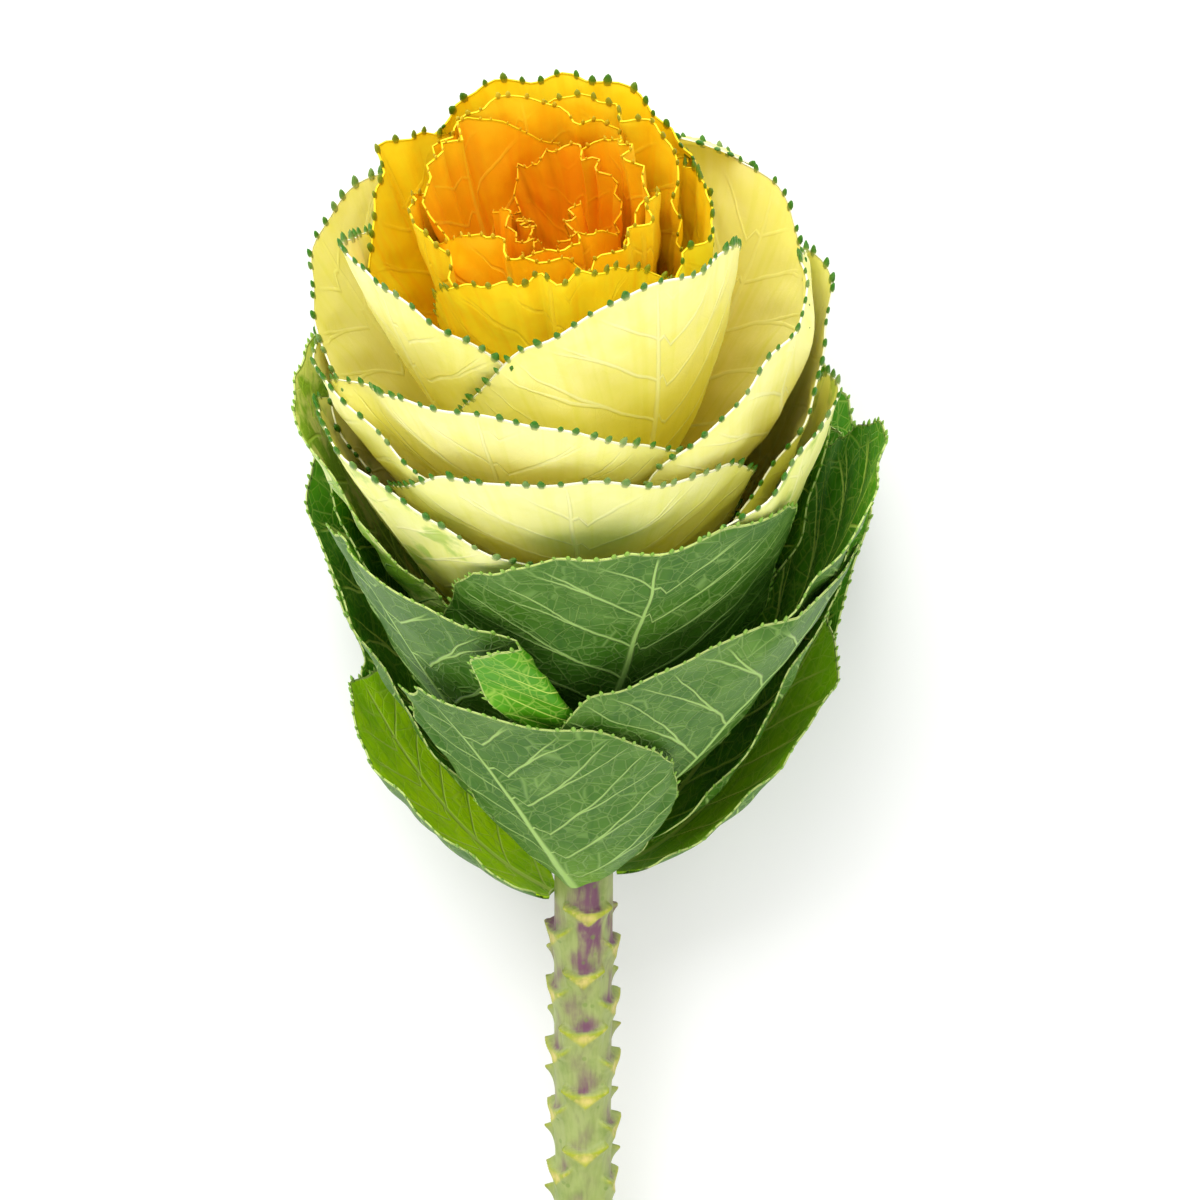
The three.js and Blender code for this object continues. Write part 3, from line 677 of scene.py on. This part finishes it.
def leaf_material(name, look, mottle):
    """A leaf: its tint, a midrib, side veins that fork toward the rim, a net of small veins, uneven
    colour, darker streaks along the blade that are painted shade of its radial pleats, a thin pale rim,
    and green mottling where the leaf has it.
    Veins stand out on the outer side and are slightly sunk on the inner one. Distances on the
    blade are in mm, and the scales of noise and cells are per metre."""
    m = Tree(name)
    across, along, phase = m.split(m.attribute("vein").outputs["Vector"])[:3]
    edge, side, blotch = m.split(m.attribute("rim").outputs["Vector"])[:3]
    wander = m.math("SUBTRACT", m.noise(55, 2.0), 0.5)
    x = m.math("ABSOLUTE", m.math("ADD", across, m.math("MULTIPLY", wander, 1.2)))
    p = m.math("ADD", phase, m.math("MULTIPLY", wander, 0.32))
    q = m.math("ABSOLUTE", m.math("SUBTRACT", p, m.math("ROUND", p)))
    forked = m.math("ABSOLUTE", m.math("SUBTRACT", q, m.between(x, 9.0, 46.0, 0.0, 0.26)))
    reach = m.between(edge, 0.5, 12.0)
    thin = m.math("MULTIPLY_ADD", m.between(x, 4.0, 40.0), -0.026, 0.056)
    side_vein = m.between(m.math("DIVIDE", forked, thin), 0.25, 1.1, 1.0, 0.0)
    side_vein = m.math("MULTIPLY", side_vein, reach)
    half = m.math("MULTIPLY_ADD", along, -1.0, 1.3)
    rib = m.between(m.math("DIVIDE", x, half), 0.45, 1.25, 1.0, 0.0)
    rib = m.math("MULTIPLY", rib, m.between(edge, 0.5, 5.0))
    net_big = m.math("MULTIPLY", m.cells(140, 0.0, 0.045), 0.40 * look["net"])
    net_small = m.math("MULTIPLY", m.cells(340, 0.0, 0.08), 0.26 * look["net"])
    lines = m.math("MAXIMUM", rib, side_vein)
    lines = m.math("MAXIMUM", lines, m.math("MAXIMUM", net_big, net_small))
    fine = m.math("MULTIPLY", m.noise(160, 3.0), 0.35)
    uneven = m.math("MULTIPLY_ADD", m.noise(28, 4.0), 0.65, fine)
    tone_and_pleat_shade = rgba(look["tone_and_pleat_shade"])
    plain = m.attribute("tint").outputs["Color"]
    tint = m.mix(m.between(uneven, 0.36, 0.64), plain, m.mix(1.0, plain, tone_and_pleat_shade, "MULTIPLY"))
    bloom = m.math("MULTIPLY", m.between(m.noise(75, 5.0), 0.50, 0.68, 0.0, 0.38), side)
    tint = m.mix(bloom, tint, m.mix(0.65, rgba(look["vein_outer"]), plain))
    # Streaks running out from the base: painted shade of the radial pleats, darkening the tint.
    streak = m.node("CombineXYZ")
    m.put(streak.inputs[0], m.math("DIVIDE", across, m.math("MAXIMUM", along, 0.25)))
    m.put(streak.inputs[1], m.math("MULTIPLY", along, 4.0))
    streaks = m.noise(0.22, 3.0, streak.outputs[0])
    painted_pleat_shade = m.mix(1.0, tint, tone_and_pleat_shade, "MULTIPLY")
    tint = m.mix(m.between(streaks, 0.48, 0.72, 0.0, 0.8), tint, painted_pleat_shade)
    patches = m.between(m.math("MULTIPLY_ADD", blotch, 0.35, m.noise(95, 4.0)), 0.60, 0.72)
    patches = m.math("MULTIPLY", patches, m.between(blotch, 0.0, 0.3))
    tint = m.mix(patches, tint, rgba(mottle))
    vein_colour = m.mix(side, rgba(look["vein_inner"]), rgba(look["vein_outer"]))
    colour = m.mix(m.math("MULTIPLY", lines, look["veins"]), tint, vein_colour)
    colour = m.mix(m.between(edge, 0.2, 0.65, 1.0, 0.0), colour, rgba(look["rim"]))
    m.put(m.shader.inputs["Base Color"], colour)
    dull = m.math("MULTIPLY_ADD", m.noise(220, 2.0), 0.18, look["roughness"])
    m.put(m.shader.inputs["Roughness"], dull)
    m.shader.inputs["Specular IOR Level"].default_value = 0.28
    m.shader.inputs["Subsurface Weight"].default_value = look["glow"]
    m.shader.inputs["Subsurface Radius"].default_value = (1.0, 0.8, 0.25)
    m.shader.inputs["Subsurface Scale"].default_value = 0.0025
    facing = m.math("MULTIPLY_ADD", side, 1.35, -0.35)
    grain = m.math("MULTIPLY", m.noise(340, 3.0), 0.35)
    m.bump(m.math("MULTIPLY_ADD", lines, facing, grain), look["relief"], 0.0006)
    return m.material


def stem_material(colours):
    """The stem: waxy green skin with fine lengthwise streaks, purple stains and rough scars."""
    m = Tree("kale stem skin")
    purple, shield = m.split(m.attribute("marks").outputs["Vector"])[:2]
    stretch = m.node("Mapping")
    stretch.inputs["Scale"].default_value = (1.0, 0.12, 1.0)
    m.put(stretch.inputs["Vector"], m.here)
    streaks = m.noise(900, 3.0, stretch.outputs[0])
    patches = m.noise(190, 4.0)
    plain = m.attribute("tint").outputs["Color"]
    tint = m.mix(m.between(streaks, 0.40, 0.68), plain, (0.86, 0.90, 0.80, 1), "MULTIPLY")
    tint = m.mix(m.between(patches, 0.52, 0.75, 0.0, 0.45), tint, rgba(colours.stem_dark))
    ragged = m.math("MULTIPLY_ADD", m.math("ADD", m.noise(260, 4.0), streaks), 1.5, -0.95)
    stain = m.between(m.math("MULTIPLY", purple, m.math("ADD", ragged, 0.62)), 0.10, 0.95)
    colour = m.mix(m.math("MULTIPLY", stain, 0.92), tint, rgba(colours.purple))
    dots = m.node("TexVoronoi")
    m.put(dots.inputs["Vector"], m.here)
    dots.inputs["Scale"].default_value = 260
    speckle = m.between(dots.outputs["Distance"], 0.10, 0.20, 0.5, 0.0)
    colour = m.mix(speckle, colour, rgba(colours.stem_dark))
    pitted = m.math("MULTIPLY", shield, m.between(m.noise(700, 2.0), 0.50, 0.66, 0.0, 0.5))
    colour = m.mix(pitted, colour, rgba(colours.scar_heart))
    m.put(m.shader.inputs["Base Color"], colour)
    m.put(m.shader.inputs["Roughness"], m.math("MULTIPLY_ADD", patches, 0.25, 0.38))
    m.shader.inputs["Specular IOR Level"].default_value = 0.4
    m.shader.inputs["Subsurface Weight"].default_value = 0.08
    m.shader.inputs["Subsurface Radius"].default_value = (1.0, 0.9, 0.4)
    m.shader.inputs["Subsurface Scale"].default_value = 0.0015
    rough = m.math("MULTIPLY_ADD", shield, 1.2, 0.3)
    m.bump(m.math("MULTIPLY_ADD", m.noise(1500, 2.0), rough, streaks), 0.35, 0.0003)
    return m.material


# ---- Properties ----
def colour_property(name, description, r, g, b):
    return FloatVectorProperty(name=name, description=description, subtype="COLOR", size=3, min=0, max=1,
                               default=srgb(r, g, b))


def size_property(name, description, mm):
    return FloatProperty(name=name, description=description + " in mm", default=mm)


def distance_property(name, description, metres):
    return FloatProperty(name=name, description=description, unit="LENGTH", default=metres)


class KaleSizes(bpy.types.PropertyGroup):
    thickness: size_property("Blade thickness", "Thickness of a leaf", 0.7)
    gap: size_property("Gap", "Clear space between neighbouring leaves", 0.4)
    ruffle: size_property("Ruffle", "Height of the waves of the rim", 0.75)
    pucker: size_property("Pucker", "Bulge between the side veins", 0.45)
    tooth: size_property("Tooth", "Length of a tooth of the rim", 1.8)
    tooth_spacing: size_property("Tooth spacing", "Distance between teeth", 4.3)
    view_angle: FloatProperty(name="View angle", description="Tilt of the camera from straight down",
                              subtype="ANGLE", default=math.radians(15 - PITCH))
    distance: distance_property("Camera distance", "From camera to plant", 1.3)
    span: distance_property("View width", "Width of the view at the plant", 0.282)
    ahead: distance_property("Ahead", "From the head's base to the view's middle, along the stem", 0.067)
    aside: distance_property("Aside", "From the stem to the view's middle, sideways", 0.004)


class KaleColours(bpy.types.PropertyGroup):
    heart_depth: colour_property("Heart depth", "Deepest orange, at the base of young leaves", 255, 126, 0)
    heart: colour_property("Heart", "Orange of the youngest leaves", 255, 172, 2)
    heart_rim: colour_property("Heart rim", "Rim of the youngest leaves", 255, 188, 6)
    golden: colour_property("Golden", "Golden leaves", 255, 230, 0)
    golden_rim: colour_property("Golden rim", "Rim of the golden leaves", 255, 238, 50)
    cream: colour_property("Cream", "Cream leaves near the rim", 252, 246, 162)
    cream_base: colour_property("Cream base", "Cream leaves in the middle", 246, 228, 86)
    cream_low: colour_property("Cream low", "Cream leaves at the base", 226, 220, 46)
    cream_pale: colour_property("Cream pale", "Rim of the lowest cream leaves", 242, 244, 164)
    cream_shade: colour_property("Cream shade", "Green-tinged base of the lowest ones", 196, 206, 74)
    green_outer: colour_property("Green outside", "Waxy outside of the green leaves", 72, 116, 26)
    green_inner: colour_property("Green inside", "Inside of the green leaves", 82, 156, 8)
    green_fresh: colour_property("Fresh green", "Youngest green and the leaf bases", 172, 226, 4)
    mottle: colour_property("Mottle", "Green patches on the lowest pale leaves", 146, 186, 52)
    # Lime: partly the fresher green inside leaf 30, partly painted light against the shade that inside
    # lies in.
    lime: colour_property("Lime", "Inside of the youngest-looking low leaf", 208, 252, 2)
    green_base: colour_property("Green base", "Outside of the green leaves at the base", 112, 154, 48)
    tooth: colour_property("Tooth", "Tips of the teeth of the pale leaves", 42, 108, 8)
    young_tooth: colour_property("Young tooth", "Tips of the teeth of the youngest leaves", 206, 172, 14)
    green_tooth: colour_property("Green tooth", "Tips of the teeth of the green leaves", 140, 180, 70)
    stem: colour_property("Stem", "Upper stem", 152, 164, 94)
    stem_low: colour_property("Stem low", "Lower stem", 140, 162, 62)
    stem_dark: colour_property("Stem dark", "Darker patches on the stem", 104, 132, 44)
    scar: colour_property("Scar", "Raised yellow-green edge of a leaf scar", 156, 166, 14)
    scar_heart: colour_property("Scar heart", "Corky middle of a leaf scar", 204, 188, 106)
    purple: colour_property("Purple", "Stain above a leaf scar", 108, 54, 90)
    pith: colour_property("Pith", "Cut face of the stem", 226, 228, 184)
    floor: colour_property("Floor", "Plain pale floor", 244, 244, 243)


# ---- Operators ----
class RingOperator:
    """What the operators of the four rings share: a material, then the leaves of one ring."""
    ring = ""

    def execute(self, context):
        scene = context.scene
        mottle = tuple(scene.kale_colours.mottle)
        material = leaf_material(f"kale {self.ring} leaf", LOOKS[self.ring], mottle)
        blades = laid_blades(scene.kale_sizes)
        first, last = next((a, b) for name, a, b in RINGS if name == self.ring)
        for k in range(first, last + 1):
            add_leaf(blades[k], self.ring, scene, material)
        return {"FINISHED"}


class KALE_OT_heart(RingOperator, bpy.types.Operator):
    """Adds the youngest leaves, closed round the growing tip"""
    bl_idname = "kale.heart_leaves"
    bl_label = "Heart leaves"
    ring = "heart"


class KALE_OT_golden(RingOperator, bpy.types.Operator):
    """Adds the golden leaves round the heart"""
    bl_idname = "kale.golden_leaves"
    bl_label = "Golden leaves"
    ring = "golden"


class KALE_OT_cream(RingOperator, bpy.types.Operator):
    """Adds the cream leaves with their green-tipped teeth"""
    bl_idname = "kale.cream_leaves"
    bl_label = "Cream leaves"
    ring = "cream"


class KALE_OT_green(RingOperator, bpy.types.Operator):
    """Adds the outer green leaves, two of which the head lies on"""
    bl_idname = "kale.green_leaves"
    bl_label = "Green leaves"
    ring = "green"


class KALE_OT_stem(bpy.types.Operator):
    """Adds the bare stem with its leaf scars and its cut end"""
    bl_idname = "kale.stem"
    bl_label = "Stem"

    def execute(self, context):
        add_stem(context.scene, stem_material(context.scene.kale_colours))
        return {"FINISHED"}


# The soft lights: name, power in watts, width and place in metres.
LIGHTS = (("key", 18.0, 1.0, (-0.35, 1.0, 1.1)), ("fill", 4.0, 1.6, (0.9, -0.2, 1.3)),
          ("front", 4.5, 1.2, (-0.3, -1.1, 1.1)))
LIGHTS_AIM = (0, 0.05, 0.05)
ROOM_LIGHT = 0.9
FLOOR_HALF = 6.0   # half the floor's width in metres


class KALE_OT_stage(bpy.types.Operator):
    """Adds the floor, the soft lights and the camera above the lying plant"""
    bl_idname = "kale.stage"
    bl_label = "Stage"

    def execute(self, context):
        scene = context.scene
        sizes = scene.kale_sizes
        mesh = bpy.data.meshes.new("floor")
        corners = [(FLOOR_HALF * x, FLOOR_HALF * y, 0) for x, y in ((-1, -1), (1, -1), (1, 1), (-1, 1))]
        mesh.from_pydata(corners, [], [(0, 1, 2, 3)])
        floor = bpy.data.objects.new("floor", mesh)
        scene.collection.objects.link(floor)
        m = Tree("pale floor")
        cloudy = m.between(m.noise(3, 2.0), 0.3, 0.7, 0.0, 0.03)
        colour = m.mix(cloudy, rgba(scene.kale_colours.floor), (0.8, 0.8, 0.8, 1))
        m.put(m.shader.inputs["Base Color"], colour)
        m.shader.inputs["Roughness"].default_value = 0.75
        mesh.materials.append(m.material)

        for name, power, size, at in LIGHTS:
            light = bpy.data.lights.new(name, "AREA")
            light.energy = power
            light.size = size
            lamp = bpy.data.objects.new(name, light)
            lamp.location = at
            toward = Vector(LIGHTS_AIM) - Vector(at)
            lamp.rotation_euler = toward.to_track_quat("-Z", "Y").to_euler()
            scene.collection.objects.link(lamp)
        world = bpy.data.worlds.new("soft room")
        scene.world = world
        world.use_nodes = True
        background = world.node_tree.nodes["Background"]
        background.inputs["Color"].default_value = (1, 1, 1, 1)
        background.inputs["Strength"].default_value = ROOM_LIGHT

        tilt = sizes.view_angle
        right = Vector((1, 0, 0))
        up = Vector((0, math.cos(tilt), -math.sin(tilt)))
        back = Vector((0, math.sin(tilt), math.cos(tilt)))
        aim = Vector(ORIGIN) * MM + right * sizes.aside + up * sizes.ahead
        camera = bpy.data.cameras.new("camera")
        camera.sensor_width = 36
        camera.lens = camera.sensor_width * sizes.distance / sizes.span
        holder = bpy.data.objects.new("camera", camera)
        where = aim + back * sizes.distance
        holder.matrix_world = Matrix.Translation(where) @ Matrix((right, up, back)).transposed().to_4x4()
        scene.collection.objects.link(holder)
        scene.camera = holder
        scene.view_settings.view_transform = "Standard"
        return {"FINISHED"}


class KALE_PT_panel(bpy.types.Panel):
    """Lists the pieces of the kale and its sizes and colours"""
    bl_idname = "KALE_PT_panel"
    bl_label = "Kale"
    bl_space_type = "VIEW_3D"
    bl_region_type = "UI"
    bl_category = "Kale"

    def draw(self, context):
        for operator in OPERATORS:
            self.layout.operator(operator.bl_idname)
        for group in (context.scene.kale_sizes, context.scene.kale_colours):
            for key in group.__annotations__:
                self.layout.prop(group, key)


OPERATORS = (KALE_OT_stem, KALE_OT_heart, KALE_OT_golden, KALE_OT_cream, KALE_OT_green, KALE_OT_stage)
CLASSES = (KaleSizes, KaleColours, *OPERATORS, KALE_PT_panel)


def register():
    for one in CLASSES:
        bpy.utils.register_class(one)
    bpy.types.Scene.kale_sizes = PointerProperty(type=KaleSizes)
    bpy.types.Scene.kale_colours = PointerProperty(type=KaleColours)


def unregister():
    del bpy.types.Scene.kale_sizes, bpy.types.Scene.kale_colours
    for one in reversed(CLASSES):
        bpy.utils.unregister_class(one)


def main():
    register()
    bpy.ops.kale.stem()
    bpy.ops.kale.heart_leaves()
    bpy.ops.kale.golden_leaves()
    bpy.ops.kale.cream_leaves()
    bpy.ops.kale.green_leaves()
    bpy.ops.kale.stage()


if __name__ == "__main__":
    main()
